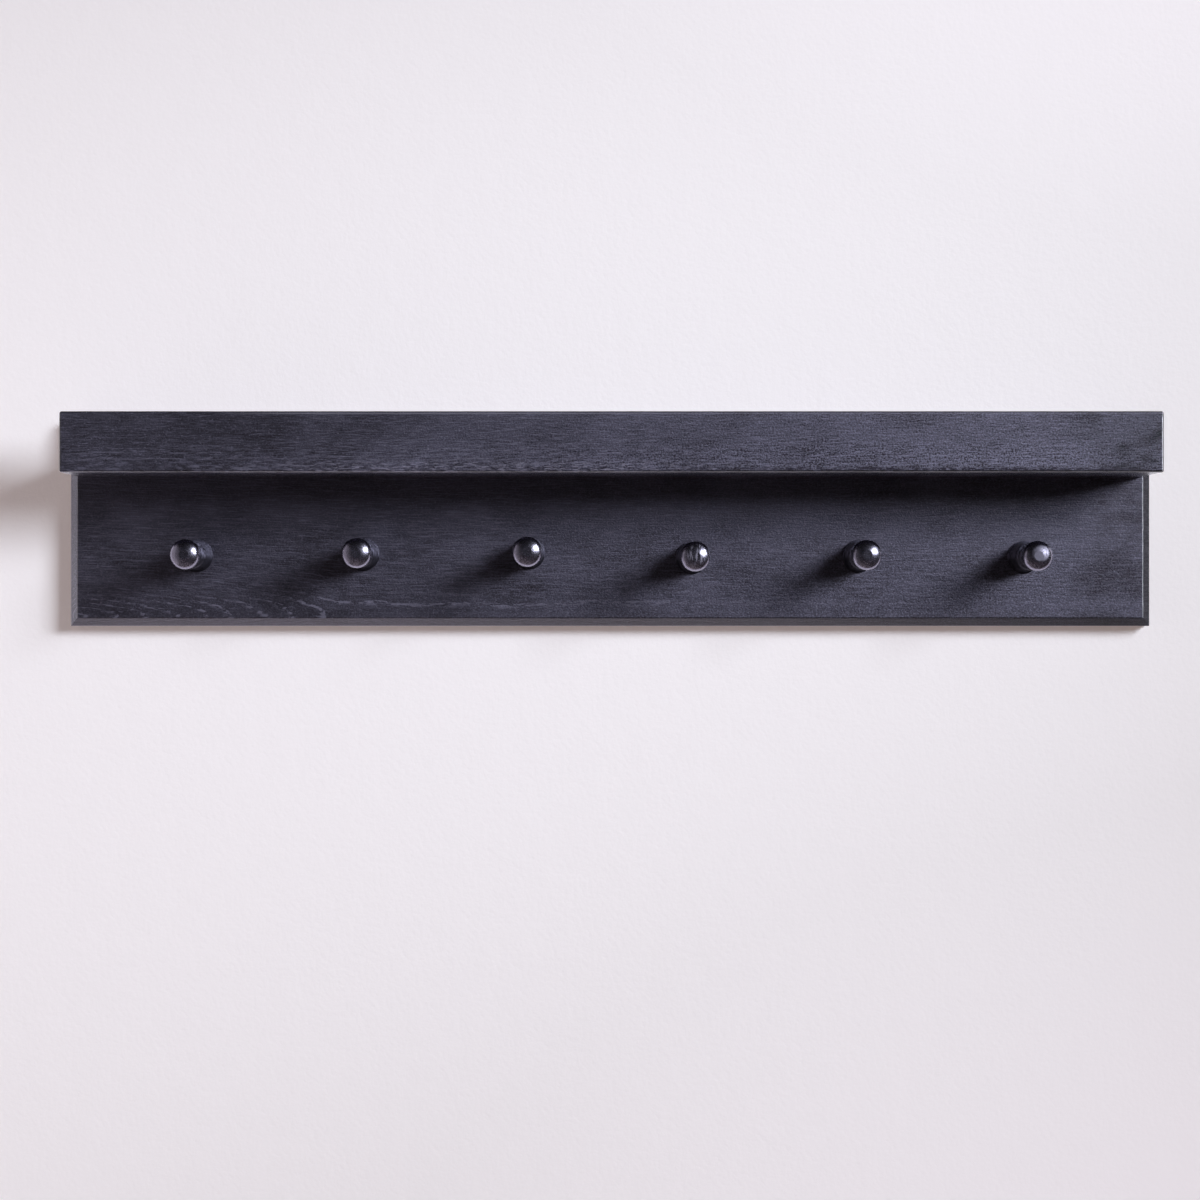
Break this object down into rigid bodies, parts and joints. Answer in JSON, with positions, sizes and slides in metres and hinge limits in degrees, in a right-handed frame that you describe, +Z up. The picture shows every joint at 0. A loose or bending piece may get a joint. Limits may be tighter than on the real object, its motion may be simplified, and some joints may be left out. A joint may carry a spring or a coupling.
{
  "type": "shaker peg rail with shelf",
  "caption": "Wall-hung oak peg rail: a bevelled back board with a row of turned pegs with domed heads, under a shelf with a tall front lip, hung on keyhole plates let into its back.",
  "frame": {"origin": "centre of the back board's rear face, on the wall", "axes": "+X along the rail to its right-hand end, +Z up, the front faces -Y and the wall is the plane Y = 0"},
  "size_m": [0.9, 0.098, 0.173],
  "materials": {
    "board_oak": "black stain under satin lacquer",
    "shelf_oak": "black stain under satin lacquer",
    "lip_oak": "black stain under satin lacquer",
    "peg_oak": "black stain under gloss lacquer",
    "dowel_beech": "bare",
    "screw_steel": "zinc plated",
    "plate_steel": "zinc plated"
  },
  "bodies": {
    "root": {"back_board": "board_oak", "shelf_board": "shelf_oak", "front_lip": "lip_oak", "peg_1": "peg_oak", "peg_2": "peg_oak", "peg_3": "peg_oak", "peg_4": "peg_oak", "peg_5": "peg_oak", "peg_6": "peg_oak", "lip_dowel_1": "dowel_beech", "lip_dowel_2": "dowel_beech", "lip_dowel_3": "dowel_beech", "lip_dowel_4": "dowel_beech", "lip_dowel_5": "dowel_beech", "lip_dowel_6": "dowel_beech", "shelf_screw_1": "screw_steel", "shelf_screw_2": "screw_steel", "shelf_screw_3": "screw_steel", "shelf_screw_4": "screw_steel", "shelf_screw_5": "screw_steel", "keyhole_plate_left": "plate_steel", "keyhole_plate_right": "plate_steel", "plate_screw_1": "screw_steel", "plate_screw_2": "screw_steel", "plate_screw_3": "screw_steel", "plate_screw_4": "screw_steel"}
  },
  "joints": []
}
